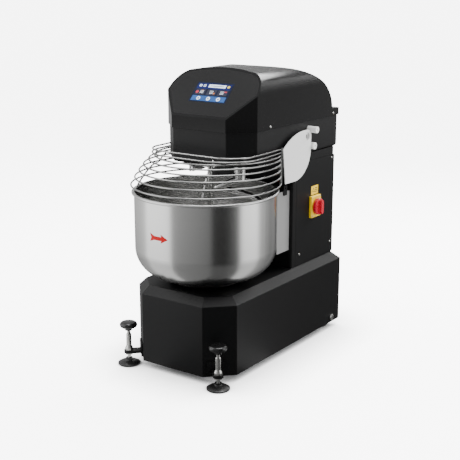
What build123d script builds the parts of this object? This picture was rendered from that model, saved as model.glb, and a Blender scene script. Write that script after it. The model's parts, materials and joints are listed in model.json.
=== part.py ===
"""Spiral dough mixer with a turning bowl, a spiral hook, a breaker bar and a lift-up wire guard.

X runs across the machine, the front faces -Y, and Z is up from the floor. All sizes are in millimetres.
"""
import os
from math import atan2, cos, hypot, radians, sin, sqrt, tan

from build123d import *

os.makedirs("parts", exist_ok=True)

# ---------------------------------------------------------------- driving dimensions
FIT = 0.05                      # radial clearance of a shaft in its bore
GAP = 0.3                       # space between pieces fitted side by side
SHEET = 3.0                     # casing sheet, hood wall
BOWL_Y = -169.5                 # bowl axis

BASE_HALF = 215.0               # base casing
BASE_FRONT = BOWL_Y - 200.0
BASE_BACK = BOWL_Y + 600.0
BASE_CORNER = 84.0              # leg of the cut front corners
BASE_LOW = 26.0
BASE_TOP = 303.0
BASE_BEVEL = 27.5
FLOOR_TOP = 32.0                # top of the plate that closes the base

COLUMN_HALF = 187.5             # column
COLUMN_FRONT = BOWL_Y + 279.0
COLUMN_BACK = BOWL_Y + 578.0
PANEL_FRONT = BOWL_Y + 302.5    # front edge of the side panels
PANEL_LOW = 306.0
PANEL_TOP = 691.0
PANEL_THICK = 2.0

HEAD_HALF = 188.7               # lower casing of the head
HEAD_FRONT = BOWL_Y - 35.0
HEAD_BACK = BOWL_Y + 592.0
HEAD_CORNER = 76.0
HEAD_LOW = 722.0
HEAD_TOP = 842.0

HOOD_HALF = 192.0               # glossy hood on the head
HOOD_FRONT = BOWL_Y - 40.0
HOOD_BACK = BOWL_Y + 600.0
HOOD_CORNER = 77.0
HOOD_LOW = HEAD_TOP + 0.5
HOOD_WALL = 4.0
FASCIA_LOW = 886.0              # where the 45 degree front starts
SHOULDER_Z = 961.0
SHOULDER_R = 72.0
SHOULDER_ARC = 80.0             # degrees
ROOF_Y = BOWL_Y + 200.0         # the roof falls away behind this line
ROOF_LONG = 345.0
LEDGE_Z = 870.0
ROOF_HIGH = 174.0
FASCIA_RIM = 7.0
FASCIA_DEEP = 3.0

BOWL_R = 250.0                  # bowl
BOWL_WALL = 2.5
BOWL_RIM_Z = 626.0
RIM_BEAD_R = 5.5
KNUCKLE_Z = 431.0
KNUCKLE_R = 105.0
FOOT_RING_R = 136.0
FOOT_RING_LOW = 319.0
TURNTABLE_LOW = 306.0
BOWL_SHAFT_R = 20.0

SPIRAL_X = 112.0                # spiral
SPIRAL_Y = BOWL_Y + 50.0
SPIRAL_R = 80.0
SPIRAL_ROD_R = 11.0
SPIRAL_TOP = 640.0
SPIRAL_LOW = 372.0
SPIRAL_PITCH = 134.0
SPIRAL_START = 215.0            # degrees, direction of the arm
BREAKER_X = 8.0
BREAKER_Y = BOWL_Y + 16.0
BREAKER_R = 9.0
BREAKER_LOW = 345.0

PIVOT_Y = BOWL_Y + 343.0        # guard
PIVOT_Z = 790.6
PLATE_X = 204.0                 # inner face of the side plates
PLATE_THICK = 3.0
WIRE_R = 3.0
RING_END_X = 199.5
RING_END_Y = BOWL_Y + 171.0
RING_Z = [652.0, 677.0, 699.0, 718.0, 734.0, 745.0, 754.0, 766.0]
RING_FRONT = [BOWL_Y - y for y in (258.0, 240.0, 220.0, 200.0, 176.0, 148.0, 115.0, 95.0)]

FOOT_X = 197.0                  # screw-down feet
FOOT_Y = BASE_FRONT - 1.0
PAD_R = 40.5
KNOB_LOW = 128.0
KNOB_HIGH = 161.0
SPINDLE_R = 6.0

WHEEL_R = 45.0                  # rear wheels
WHEEL_X = 177.0
WHEEL_Y = BOWL_Y + 538.0
WHEEL_WIDE = 32.0
AXLE_R = 6.0
CASTOR_X = 110.0                # front castors
CASTOR_Y = BASE_FRONT + 99.5
CASTOR_R = 32.0
CASTOR_TRAIL = 22.0
CASTOR_WIDE = 22.0

SWITCH_Y = BOWL_Y + 431.0       # main switch on the right side panel
SWITCH_Z = 514.0
MOTOR_Y = BOWL_Y + 420.0        # both motors

DIAGONAL = sqrt(0.5)


# ---------------------------------------------------------------- shared shapes
def upright(x, y):
    """Plane through a vertical axis: local x is the radius and local y is the height."""
    return Plane(origin=(x, y, 0), x_dir=(1, 0, 0), z_dir=(0, -1, 0))


def vertical(x, y):
    return Axis((x, y, 0), (0, 0, 1))


def across(x, y, z):
    """Plane facing +X at a point, with local x along Y and local y along Z."""
    return Plane(origin=(x, y, z), x_dir=(0, 1, 0), z_dir=(1, 0, 0))


def column_of(x, y, low, high, radius, bore=0.0):
    """Upright cylinder, or a tube when it has a bore."""
    with BuildPart() as piece:
        with BuildSketch(Plane.XY.offset(low)):
            with Locations((x, y)):
                Circle(radius)
                if bore:
                    Circle(bore, mode=Mode.SUBTRACT)
        extrude(amount=high - low)
    return piece.part


def block_of(x, y, low, high, wide, deep):
    """Upright block centred on x and y."""
    with BuildPart() as piece:
        with BuildSketch(Plane.XY.offset(low)):
            with Locations((x, y)):
                Rectangle(wide, deep)
        extrude(amount=high - low)
    return piece.part


def casing_plan(half, front, back, corner, inset=0.0):
    """Plan of a casing whose two front corners are cut at 45 degrees."""
    side = half - inset
    nose = front + inset
    cut = corner - inset * (2 - sqrt(2))
    with BuildSketch() as plan:
        with BuildLine():
            Polyline(
                (-side, back - inset), (side, back - inset), (side, nose + cut),
                (side - cut, nose), (cut - side, nose), (-side, nose + cut), close=True,
            )
        make_face()
    return plan.sketch


def casing_block(plan, low, high, corner_radius):
    with BuildPart() as block:
        with BuildSketch(Plane.XY.offset(low)):
            add(plan)
        extrude(amount=high - low)
        fillet(block.edges().filter_by(Axis.Z), corner_radius)
    return block.part


def two_circle_hull(first, first_r, second, second_r):
    """Outline of a belt round two pulleys."""
    with BuildSketch() as outline:
        with Locations(first):
            Circle(first_r)
        with Locations(second):
            Circle(second_r)
        make_hull()
    return outline.sketch


def belt_of(first, first_r, second, second_r, low, wide):
    inner = two_circle_hull(first, first_r + GAP, second, second_r + GAP)
    outer = two_circle_hull(first, first_r + GAP + 6, second, second_r + GAP + 6)
    with BuildPart() as belt:
        with BuildSketch(Plane.XY.offset(low)):
            add(outer)
            add(inner, mode=Mode.SUBTRACT)
        extrude(amount=wide)
    return belt.part


def pulley_of(x, y, low, radius, bore, wide):
    """Flanged belt pulley with a lightened web when it is large."""
    rim = radius + 4
    with BuildPart() as pulley:
        with BuildSketch(upright(x, y)):
            with BuildLine():
                Polyline(
                    (bore, low), (rim, low), (rim, low + 3), (radius, low + 3),
                    (radius, low + wide - 3), (rim, low + wide - 3), (rim, low + wide), (bore, low + wide),
                    close=True,
                )
            make_face()
        revolve(axis=vertical(x, y))
        if radius > 60:
            with BuildSketch(Plane.XY.offset(low)):
                with Locations((x, y)):
                    with PolarLocations((radius + bore) / 2, 6):
                        Circle((radius - bore) / 5)
            extrude(amount=wide, mode=Mode.SUBTRACT)
    return pulley.part


pieces = {}

# ---------------------------------------------------------------- base casing and its floor
base_outer = casing_plan(BASE_HALF, BASE_FRONT, BASE_BACK, BASE_CORNER)
base_inner = casing_plan(BASE_HALF, BASE_FRONT, BASE_BACK, BASE_CORNER, SHEET)
with BuildPart() as base_cavity:
    with BuildSketch(Plane.XY.offset(BASE_LOW)):
        add(base_inner)
    extrude(amount=BASE_TOP - SHEET - BASE_LOW)
    chamfer(base_cavity.faces().sort_by(Axis.Z)[-1].edges(), BASE_BEVEL)

with BuildPart() as base_casing:
    with BuildSketch(Plane.XY.offset(BASE_LOW)):
        add(base_outer)
    extrude(amount=BASE_TOP - BASE_LOW)
    chamfer(base_casing.faces().sort_by(Axis.Z)[-1].edges(), BASE_BEVEL)
    fillet(base_casing.edges().filter_by(lambda edge: edge.center().Z > BASE_LOW + 1), 3)
    add(base_cavity.part, mode=Mode.SUBTRACT)
    with BuildSketch(Plane.XY.offset(BASE_TOP - SHEET)):
        with Locations((0, BOWL_Y)):
            Circle(BOWL_SHAFT_R + 10)
        with Locations((0, MOTOR_Y)):
            Rectangle(220, 160)
    extrude(amount=SHEET, mode=Mode.SUBTRACT)
    with BuildSketch(across(-BASE_HALF, WHEEL_Y, WHEEL_R)):
        Circle(AXLE_R + GAP)
    extrude(amount=2 * BASE_HALF, mode=Mode.SUBTRACT)
pieces["base_casing"] = base_casing.part

floor_plan = casing_plan(BASE_HALF, BASE_FRONT, BASE_BACK, BASE_CORNER, SHEET + 0.5)
with BuildPart() as base_floor_plate:
    with BuildSketch(Plane.XY.offset(BASE_LOW + 1)):
        add(floor_plan)
        with Locations((CASTOR_X, CASTOR_Y), (-CASTOR_X, CASTOR_Y)):
            Circle(CASTOR_TRAIL + CASTOR_R + 6, mode=Mode.SUBTRACT)
        with Locations((WHEEL_X, WHEEL_Y), (-WHEEL_X, WHEEL_Y)):
            Rectangle(WHEEL_WIDE + 4, 2 * WHEEL_R + 14, mode=Mode.SUBTRACT)
    extrude(amount=FLOOR_TOP - BASE_LOW - 1)
pieces["base_floor_plate"] = base_floor_plate.part

# ---------------------------------------------------------------- rear wheels
BRACKET_TOP = 2 * WHEEL_R + 8
with BuildPart() as rear_wheel_brackets:
    with BuildSketch(Plane.XZ.offset(-(WHEEL_Y - 22))):
        with Locations((WHEEL_X, (FLOOR_TOP + BRACKET_TOP) / 2)):
            Rectangle(WHEEL_WIDE + 14, BRACKET_TOP - FLOOR_TOP)
        with Locations((WHEEL_X, (FLOOR_TOP + BRACKET_TOP) / 2 - 4)):
            Rectangle(WHEEL_WIDE + 6, BRACKET_TOP - FLOOR_TOP, mode=Mode.SUBTRACT)
    extrude(amount=-44)
    with BuildSketch(across(WHEEL_X - WHEEL_WIDE, WHEEL_Y, WHEEL_R)):
        Circle(AXLE_R + FIT)
    extrude(amount=2 * WHEEL_WIDE, mode=Mode.SUBTRACT)
    mirror(about=Plane.YZ)
pieces["rear_wheel_brackets"] = rear_wheel_brackets.part

with BuildPart() as rear_axle_bolts:
    with BuildSketch(across(WHEEL_X - WHEEL_WIDE / 2 - 12, WHEEL_Y, WHEEL_R)):
        Circle(AXLE_R)
    extrude(amount=BASE_HALF + GAP - (WHEEL_X - WHEEL_WIDE / 2 - 12))
    with BuildSketch(across(BASE_HALF + GAP, WHEEL_Y, WHEEL_R)):
        Circle(12)
    extrude(amount=5)
    chamfer(rear_axle_bolts.faces().sort_by(Axis.X)[-1].edges(), 1.5)
    with BuildSketch(across(BASE_HALF + GAP + 5, WHEEL_Y, WHEEL_R)):
        RegularPolygon(5, 6)
    extrude(amount=-3, mode=Mode.SUBTRACT)
    mirror(about=Plane.YZ)
pieces["rear_axle_bolts"] = rear_axle_bolts.part


def rear_wheel(x):
    half = WHEEL_WIDE / 2
    with BuildPart() as wheel:
        with BuildSketch(Plane(origin=(x, WHEEL_Y, WHEEL_R), x_dir=(1, 0, 0), z_dir=(0, -1, 0))):
            with BuildLine():
                Polyline(
                    (-half, AXLE_R + FIT), (-half, 14), (-half + 7, 15), (-half + 7, 30), (-half + 2, 32),
                    (-half + 2, WHEEL_R - 4), (-half + 6, WHEEL_R), (half - 6, WHEEL_R),
                    (half - 2, WHEEL_R - 4), (half - 2, 32), (half - 7, 30), (half - 7, 15), (half, 14),
                    (half, AXLE_R + FIT), close=True,
                )
            make_face()
        revolve(axis=Axis((x, WHEEL_Y, WHEEL_R), (1, 0, 0)))
    return wheel.part


pieces["rear_wheel_left"] = rear_wheel(-WHEEL_X)
pieces["rear_wheel_right"] = rear_wheel(WHEEL_X)

# ---------------------------------------------------------------- front castors
FORK_TOP = 83.0
CASTOR_PLATE = 92.0
with BuildPart() as front_castor_brackets:
    leg = CASTOR_TRAIL + CASTOR_R + 9
    with BuildSketch(Plane.XZ.offset(-(CASTOR_Y - 40))):
        with Locations((CASTOR_X, (FLOOR_TOP + CASTOR_PLATE + 5) / 2)):
            Rectangle(2 * leg, CASTOR_PLATE + 5 - FLOOR_TOP)
        with Locations((CASTOR_X, (FLOOR_TOP + CASTOR_PLATE - 5) / 2)):
            Rectangle(2 * leg - 8, CASTOR_PLATE + 5 - FLOOR_TOP, mode=Mode.SUBTRACT)
    extrude(amount=-80)
    with BuildSketch(Plane.XY.offset(CASTOR_PLATE)):
        with Locations((CASTOR_X, CASTOR_Y)):
            Circle(AXLE_R + FIT)
    extrude(amount=5, mode=Mode.SUBTRACT)
    mirror(about=Plane.YZ)
pieces["front_castor_brackets"] = front_castor_brackets.part


def castor_fork(x):
    cheek = CASTOR_WIDE / 2 + 1.5
    axle_y = CASTOR_Y + CASTOR_TRAIL
    with BuildPart() as fork:
        with BuildSketch(across(x - cheek - 3, 0, 0)):
            with BuildLine():
                Polyline(
                    (CASTOR_Y - 20, FORK_TOP), (CASTOR_Y + 26, FORK_TOP), (axle_y + 11, CASTOR_R + 4),
                    (axle_y + 6, CASTOR_R - 9), (axle_y - 6, CASTOR_R - 9), (axle_y - 11, CASTOR_R),
                    (CASTOR_Y - 20, FORK_TOP - 12), close=True,
                )
            make_face()
        extrude(amount=2 * cheek + 6)
        with BuildSketch(across(x - cheek, 0, 0)):
            with Locations((CASTOR_Y + 10, (FORK_TOP - 5) / 2)):
                Rectangle(120, FORK_TOP - 5)
        extrude(amount=2 * cheek, mode=Mode.SUBTRACT)
        with BuildSketch(Plane.XY.offset(FORK_TOP)):
            with Locations((x, CASTOR_Y)):
                Circle(18)
        extrude(amount=CASTOR_PLATE - FORK_TOP - GAP)
        with BuildSketch(Plane.XY.offset(CASTOR_PLATE - GAP)):
            with Locations((x, CASTOR_Y)):
                Circle(AXLE_R)
        extrude(amount=7)
        with BuildSketch(across(x - cheek - 3, axle_y, CASTOR_R)):
            Circle(4)
        extrude(amount=2 * cheek + 6)
    return fork.part


def castor_wheel(x):
    half = CASTOR_WIDE / 2
    axle_y = CASTOR_Y + CASTOR_TRAIL
    with BuildPart() as wheel:
        with BuildSketch(Plane(origin=(x, axle_y, CASTOR_R), x_dir=(1, 0, 0), z_dir=(0, -1, 0))):
            with BuildLine():
                Polyline(
                    (-half, 4 + FIT), (-half, CASTOR_R - 5), (-half + 4, CASTOR_R), (half - 4, CASTOR_R),
                    (half, CASTOR_R - 5), (half, 4 + FIT), close=True,
                )
            make_face()
        revolve(axis=Axis((x, axle_y, CASTOR_R), (1, 0, 0)))
    return wheel.part


for side, x in (("left", -CASTOR_X), ("right", CASTOR_X)):
    pieces[f"castor_fork_{side}"] = castor_fork(x)
    pieces[f"castor_wheel_{side}"] = castor_wheel(x)

# ---------------------------------------------------------------- screw-down front feet
ARM_LOW = 43.0
ARM_HIGH = 53.0
SLEEVE_TOP = 116.0
FACE_GAP = ((FOOT_X - FOOT_Y) - (BASE_HALF - BASE_CORNER - BASE_FRONT)) * DIAGONAL
foot_plane = Plane(origin=(FOOT_X, FOOT_Y, ARM_LOW), x_dir=(DIAGONAL, -DIAGONAL, 0), z_dir=(0, 0, 1))
with BuildPart() as foot_brackets:
    with BuildSketch(foot_plane):
        Circle(18)
        with Locations((-(FACE_GAP - GAP) / 2, 0)):
            Rectangle(FACE_GAP - GAP, 34)
    extrude(amount=ARM_HIGH - ARM_LOW)
    with BuildSketch(foot_plane.offset(-8)):
        with Locations((3 + GAP - FACE_GAP, 0)):
            Rectangle(6, 62)
    extrude(amount=48)
    with BuildSketch(foot_plane):
        Circle(9.5)
    extrude(amount=ARM_HIGH - ARM_LOW + 40, mode=Mode.SUBTRACT)
    mirror(about=Plane.YZ)
pieces["foot_brackets"] = foot_brackets.part

with BuildPart() as foot_sleeves:
    with BuildSketch(upright(FOOT_X, FOOT_Y)):
        with BuildLine():
            Polyline(
                (SPINDLE_R + FIT, ARM_LOW - 6), (13, ARM_LOW - 6), (13, ARM_LOW - GAP / 3),
                (9.4, ARM_LOW - GAP / 3), (9.4, ARM_HIGH + GAP / 3), (14.2, ARM_HIGH + GAP / 3),
                (14.2, ARM_HIGH + 8), (9.4, ARM_HIGH + 18), (9.4, SLEEVE_TOP - 4), (8, SLEEVE_TOP),
                (SPINDLE_R + FIT, SLEEVE_TOP), close=True,
            )
        make_face()
    revolve(axis=vertical(FOOT_X, FOOT_Y))
    mirror(about=Plane.YZ)
pieces["foot_sleeves"] = foot_sleeves.part


def foot_pad(x):
    bore = SPINDLE_R + FIT
    with BuildPart() as pad:
        with BuildSketch(upright(x, FOOT_Y)):
            with BuildLine():
                Polyline((0, 14), (0, 0), (PAD_R - 2, 0), (PAD_R, 2), (PAD_R, 6))
                ThreePointArc((PAD_R, 6), (PAD_R - 12, 12), (14, 15.5))
                Polyline((14, 15.5), (12, 18), (12, 24), (bore, 24), (bore, 14), (0, 14))
            make_face()
        revolve(axis=vertical(x, FOOT_Y))
    return pad.part


def foot_knob(x):
    """Smooth round hand knob with a short neck."""
    bore = SPINDLE_R + FIT
    rim = KNOB_LOW + 10
    with BuildPart() as knob:
        with BuildSketch(upright(x, FOOT_Y)):
            with BuildLine():
                Polyline(
                    (0, KNOB_HIGH - 8), (bore, KNOB_HIGH - 8), (bore, KNOB_LOW), (12.5, KNOB_LOW),
                    (13.5, rim - 4),
                )
                ThreePointArc((13.5, rim - 4), (16, rim - 1), (21, rim))
                ThreePointArc((21, rim), (31.5, rim + 10), (23, KNOB_HIGH - 2.5))
                ThreePointArc((23, KNOB_HIGH - 2.5), (16, KNOB_HIGH - 0.7), (8, KNOB_HIGH))
                Polyline((8, KNOB_HIGH), (0, KNOB_HIGH), (0, KNOB_HIGH - 8))
            make_face()
        revolve(axis=vertical(x, FOOT_Y))
    return knob.part


for side, x in (("left", -FOOT_X), ("right", FOOT_X)):
    pieces[f"foot_pad_{side}"] = foot_pad(x)
    pieces[f"foot_spindle_{side}"] = column_of(x, FOOT_Y, 14 + GAP / 3, KNOB_HIGH - 8 - GAP / 3, SPINDLE_R)
    pieces[f"foot_knob_{side}"] = foot_knob(x)

# ---------------------------------------------------------------- bowl and its drive
BELT_LOW = 120.0
BELT_WIDE = 30.0
BOWL_PULLEY_R = 105.0
MOTOR_PULLEY_R = 30.0
UNDER_TOP = BASE_TOP - SHEET - GAP / 3

with BuildPart() as bowl_bearing_housing:
    with BuildSketch(upright(0, BOWL_Y)):
        with BuildLine():
            Polyline(
                (38, 190), (60, 190), (60, UNDER_TOP - 10), (90, UNDER_TOP - 10), (90, UNDER_TOP),
                (38, UNDER_TOP), close=True,
            )
        make_face()
    revolve(axis=vertical(0, BOWL_Y))
pieces["bowl_bearing_housing"] = bowl_bearing_housing.part

BEARING_LOWS = (194.0, 272.0)
with BuildPart() as bowl_bearings:
    for low in BEARING_LOWS:
        add(column_of(0, BOWL_Y, low, low + 18, 38 - FIT, BOWL_SHAFT_R + FIT))
pieces["bowl_bearings"] = bowl_bearings.part

pieces["bowl_shaft"] = column_of(0, BOWL_Y, BELT_LOW - 10, FOOT_RING_LOW - 4, BOWL_SHAFT_R)
pieces["bowl_pulley"] = pulley_of(0, BOWL_Y, BELT_LOW, BOWL_PULLEY_R, BOWL_SHAFT_R + FIT, BELT_WIDE)
pieces["bowl_belt"] = belt_of(
    (0, BOWL_Y), BOWL_PULLEY_R, (0, MOTOR_Y), MOTOR_PULLEY_R, BELT_LOW + 3.5, BELT_WIDE - 7
)


def motor_of(x, y, low, high, radius, shaft_low, shaft_high, flange_low):
    """Geared motor: finned body, square flange and a box for its terminals."""
    with BuildPart() as motor:
        with BuildSketch(Plane.XY.offset(low)):
            with Locations((x, y)):
                Circle(radius - 5)
                with PolarLocations(radius - 6, 24):
                    Rectangle(11, 3)
        extrude(amount=high - low)
        with BuildSketch(Plane.XY.offset(flange_low)):
            with Locations((x, y)):
                RectangleRounded(2 * radius, 2 * radius, 14)
        extrude(amount=8)
        with BuildSketch(Plane.XY.offset(shaft_low)):
            with Locations((x, y)):
                Circle(12)
        extrude(amount=shaft_high - shaft_low)
    return motor.part


bowl_motor = motor_of(0, MOTOR_Y, 158, UNDER_TOP - 8, 72, 150, 158, UNDER_TOP - 8)
pieces["bowl_motor"] = block_of(0, MOTOR_Y, UNDER_TOP - 8, UNDER_TOP, 260, 190) + bowl_motor
pieces["bowl_motor_pulley"] = pulley_of(0, MOTOR_Y, BELT_LOW, MOTOR_PULLEY_R, 0.001, BELT_WIDE)

with BuildPart() as bowl_turntable:
    with BuildSketch(upright(0, BOWL_Y)):
        with BuildLine():
            Polyline(
                (BOWL_SHAFT_R + FIT, TURNTABLE_LOW), (124, TURNTABLE_LOW), (130, TURNTABLE_LOW + 4),
                (130, FOOT_RING_LOW - GAP / 3), (BOWL_SHAFT_R + FIT, FOOT_RING_LOW - GAP / 3), close=True,
            )
        make_face()
    revolve(axis=vertical(0, BOWL_Y))
pieces["bowl_turntable"] = bowl_turntable.part

BOWL_LOW = KNUCKLE_Z - KNUCKLE_R
BEAD_X = BOWL_R + RIM_BEAD_R - BOWL_WALL
with BuildPart() as bowl:
    with BuildSketch(upright(0, BOWL_Y)):
        with BuildLine():
            Line((0, BOWL_LOW), (FOOT_RING_R - 8, BOWL_LOW))
            Line((FOOT_RING_R - 8, BOWL_LOW), (FOOT_RING_R - 8, FOOT_RING_LOW))
            Line((FOOT_RING_R - 8, FOOT_RING_LOW), (FOOT_RING_R, FOOT_RING_LOW))
            Line((FOOT_RING_R, FOOT_RING_LOW), (FOOT_RING_R, BOWL_LOW))
            Line((FOOT_RING_R, BOWL_LOW), (BOWL_R - KNUCKLE_R, BOWL_LOW))
            CenterArc((BOWL_R - KNUCKLE_R, KNUCKLE_Z), KNUCKLE_R, -90, 90)
            Line((BOWL_R, KNUCKLE_Z), (BOWL_R, BOWL_RIM_Z))
            Line((BOWL_R, BOWL_RIM_Z), (BOWL_R - BOWL_WALL, BOWL_RIM_Z))
            Line((BOWL_R - BOWL_WALL, BOWL_RIM_Z), (BOWL_R - BOWL_WALL, KNUCKLE_Z))
            CenterArc((BOWL_R - KNUCKLE_R, KNUCKLE_Z), KNUCKLE_R - BOWL_WALL, 0, -90)
            Line((BOWL_R - KNUCKLE_R, BOWL_LOW + BOWL_WALL), (0, BOWL_LOW + BOWL_WALL))
            Line((0, BOWL_LOW + BOWL_WALL), (0, BOWL_LOW))
        make_face()
        with Locations((BEAD_X, BOWL_RIM_Z)):
            Circle(RIM_BEAD_R)
    revolve(axis=vertical(0, BOWL_Y))
pieces["bowl"] = bowl.part

ARROW_Z = 504.0
ARROW_X = -12.0
with BuildPart() as direction_arrow:
    with BuildSketch(Plane.XY.offset(ARROW_Z - 20)):
        with Locations((0, BOWL_Y)):
            Circle(BOWL_R + 0.6)
            Circle(BOWL_R + 0.1, mode=Mode.SUBTRACT)
    extrude(amount=40)
    with BuildSketch(Plane.XZ.offset(-BOWL_Y + 200)):
        with BuildLine():
            Polyline(
                (ARROW_X - 38, ARROW_Z + 14), (ARROW_X - 18, ARROW_Z + 6.5), (ARROW_X + 13, ARROW_Z + 6.5),
                (ARROW_X + 11, ARROW_Z + 15), (ARROW_X + 39, ARROW_Z), (ARROW_X + 11, ARROW_Z - 15),
                (ARROW_X + 13, ARROW_Z - 6.5), (ARROW_X - 18, ARROW_Z - 6.5), (ARROW_X - 38, ARROW_Z - 14),
                (ARROW_X - 32, ARROW_Z), close=True,
            )
        make_face()
    extrude(amount=100, mode=Mode.INTERSECT)
pieces["direction_arrow"] = direction_arrow.part

# ---------------------------------------------------------------- column
column_mid = (COLUMN_FRONT + COLUMN_BACK) / 2
column_deep = COLUMN_BACK - COLUMN_FRONT
COLUMN_SHEET = 5.5
with BuildPart() as column_casing:
    with BuildSketch(Plane.XY.offset(BASE_TOP + GAP / 3)):
        with Locations((0, column_mid)):
            RectangleRounded(2 * COLUMN_HALF, column_deep, 12)
    extrude(amount=HEAD_LOW - BASE_TOP - 2 * GAP / 3)
    with BuildSketch(Plane.XY.offset(BASE_TOP)):
        with Locations((0, column_mid)):
            RectangleRounded(2 * (COLUMN_HALF - COLUMN_SHEET), column_deep - 2 * COLUMN_SHEET, 7)
    extrude(amount=HEAD_LOW - BASE_TOP, mode=Mode.SUBTRACT)
    recess = PANEL_THICK + 0.2
    for x in (COLUMN_HALF - recess / 2, recess / 2 - COLUMN_HALF):
        add(
            block_of(x, (PANEL_FRONT + COLUMN_BACK) / 2, PANEL_LOW - 1, PANEL_TOP + 1, recess,
                     COLUMN_BACK - PANEL_FRONT),
            mode=Mode.SUBTRACT,
        )
    add(
        block_of(0, COLUMN_BACK - recess / 2, PANEL_LOW - 1, PANEL_TOP + 1, 2 * COLUMN_HALF, recess),
        mode=Mode.SUBTRACT,
    )
    with BuildSketch(Plane.XZ.offset(-COLUMN_BACK)):
        with Locations((-120, 380)):
            Circle(10.2)
    extrude(amount=20, mode=Mode.SUBTRACT)
pieces["column_casing"] = column_casing.part

panel_mid = (PANEL_FRONT + COLUMN_BACK) / 2 + 0.4
panel_deep = COLUMN_BACK - PANEL_FRONT - 0.8
PANEL_IN = COLUMN_HALF - PANEL_THICK
SEAL = 1.0
with BuildPart() as side_panel:
    with BuildSketch(across(PANEL_IN, panel_mid, (PANEL_LOW + PANEL_TOP) / 2)):
        RectangleRounded(panel_deep, PANEL_TOP - PANEL_LOW, 4)
    extrude(amount=PANEL_THICK)
pieces["side_panel_right"] = side_panel.part
with BuildPart() as side_panel_left:
    mirror(side_panel.part, about=Plane.YZ)
pieces["side_panel_left"] = side_panel_left.part

with BuildPart() as rear_panel:
    with BuildSketch(Plane.XZ.offset(-(COLUMN_BACK - PANEL_THICK))):
        with Locations((0, (PANEL_LOW + PANEL_TOP) / 2)):
            RectangleRounded(2 * (PANEL_IN - SEAL), PANEL_TOP - PANEL_LOW, 4)
        with Locations((-120, 380)):
            Circle(10.2, mode=Mode.SUBTRACT)
    extrude(amount=-PANEL_THICK)
    louvre_plane = Plane.XZ.offset(-COLUMN_BACK)
    with BuildSketch(louvre_plane):
        with GridLocations(90, 14, 2, 8):
            with Locations((0, 600)):
                SlotOverall(70, 5)
    extrude(amount=PANEL_THICK, mode=Mode.SUBTRACT)
pieces["rear_panel"] = rear_panel.part

with BuildPart() as cable_gland:
    with BuildSketch(Plane(origin=(-120, COLUMN_BACK, 380), x_dir=(1, 0, 0), z_dir=(0, 1, 0))):
        RegularPolygon(15, 6)
    extrude(amount=7)
    with BuildSketch(Plane(origin=(-120, COLUMN_BACK + 7, 380), x_dir=(1, 0, 0), z_dir=(0, 1, 0))):
        Circle(13)
    extrude(amount=9, taper=12)
    with BuildSketch(Plane(origin=(-120, COLUMN_BACK, 380), x_dir=(1, 0, 0), z_dir=(0, 1, 0))):
        Circle(10)
    extrude(amount=-14)
    with BuildSketch(Plane(origin=(-120, COLUMN_BACK + 16, 380), x_dir=(1, 0, 0), z_dir=(0, 1, 0))):
        Circle(5)
    extrude(amount=-30, mode=Mode.SUBTRACT)
pieces["cable_gland"] = cable_gland.part

# Light plates that close the gap between bowl and column, each folded onto the column's front.
SPLASH_X = 170.5
SPLASH_FRONT = BOWL_Y + 197.0
with BuildPart() as splash_plates:
    with BuildSketch(across(SPLASH_X, 0, 0)):
        with BuildLine():
            Polyline(
                (SPLASH_FRONT, 374), (COLUMN_FRONT - GAP, 374), (COLUMN_FRONT - GAP, 598),
                (SPLASH_FRONT, 602), close=True,
            )
        make_face()
    extrude(amount=2)
    with BuildSketch(Plane.XZ.offset(-(COLUMN_FRONT - GAP))):
        with Locations((SPLASH_X - 12, 486)):
            Rectangle(24, 224)
    extrude(amount=2)
    mirror(about=Plane.YZ)
pieces["splash_plates"] = splash_plates.part

with BuildPart() as splash_clips:
    with BuildSketch(across(SPLASH_X + 2 + GAP / 3, SPLASH_FRONT + 48, 604)):
        RectangleRounded(22, 36, 3)
        with Locations((0, 8)):
            Circle(3.5, mode=Mode.SUBTRACT)
    extrude(amount=4)
    mirror(about=Plane.YZ)
pieces["splash_clips"] = splash_clips.part

# ---------------------------------------------------------------- main switch and label
SWITCH_FACE = COLUMN_HALF + 10.5
with BuildPart() as main_switch_plate:
    with BuildSketch(across(COLUMN_HALF + GAP / 3, SWITCH_Y, SWITCH_Z)):
        RectangleRounded(68, 82, 4)
    extrude(amount=SWITCH_FACE - COLUMN_HALF - GAP / 3)
    chamfer(main_switch_plate.faces().sort_by(Axis.X)[-1].edges(), 1)
    with BuildSketch(across(SWITCH_FACE, SWITCH_Y, SWITCH_Z)):
        Circle(26)
    extrude(amount=3)
    with BuildSketch(across(SWITCH_FACE, SWITCH_Y, SWITCH_Z)):
        Circle(4)
    extrude(amount=14)
pieces["main_switch_plate"] = main_switch_plate.part

HANDLE_LOW = SWITCH_FACE + 3 + GAP
with BuildPart() as main_switch_handle:
    with BuildSketch(across(HANDLE_LOW, SWITCH_Y, SWITCH_Z)):
        Circle(31)
    extrude(amount=13)
    chamfer(main_switch_handle.faces().sort_by(Axis.X)[-1].edges(), 2)
    with BuildSketch(across(HANDLE_LOW + 13, SWITCH_Y, SWITCH_Z)):
        SlotOverall(54, 18, rotation=90)
    extrude(amount=11, taper=4)
    with BuildSketch(across(HANDLE_LOW, SWITCH_Y, SWITCH_Z)):
        Circle(4 + FIT)
    extrude(amount=12, mode=Mode.SUBTRACT)
pieces["main_switch_handle"] = main_switch_handle.part

with BuildPart() as switch_label:
    with BuildSketch(across(COLUMN_HALF + GAP / 3, SWITCH_Y + 2, SWITCH_Z + 61)):
        RectangleRounded(50, 33, 3)
    extrude(amount=0.6)
pieces["switch_label"] = switch_label.part

pieces["control_unit"] = block_of(0, COLUMN_FRONT + 34, 420, 640, 240, 50)

# ---------------------------------------------------------------- head casing
head_outer = casing_plan(HEAD_HALF, HEAD_FRONT, HEAD_BACK, HEAD_CORNER)
head_inner = casing_plan(HEAD_HALF, HEAD_FRONT, HEAD_BACK, HEAD_CORNER, SHEET)
with BuildPart() as head_cavity:
    add(casing_block(head_inner, HEAD_LOW + SHEET, HEAD_TOP, 3))
    fillet(head_cavity.faces().sort_by(Axis.Z)[0].edges(), 7)

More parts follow.
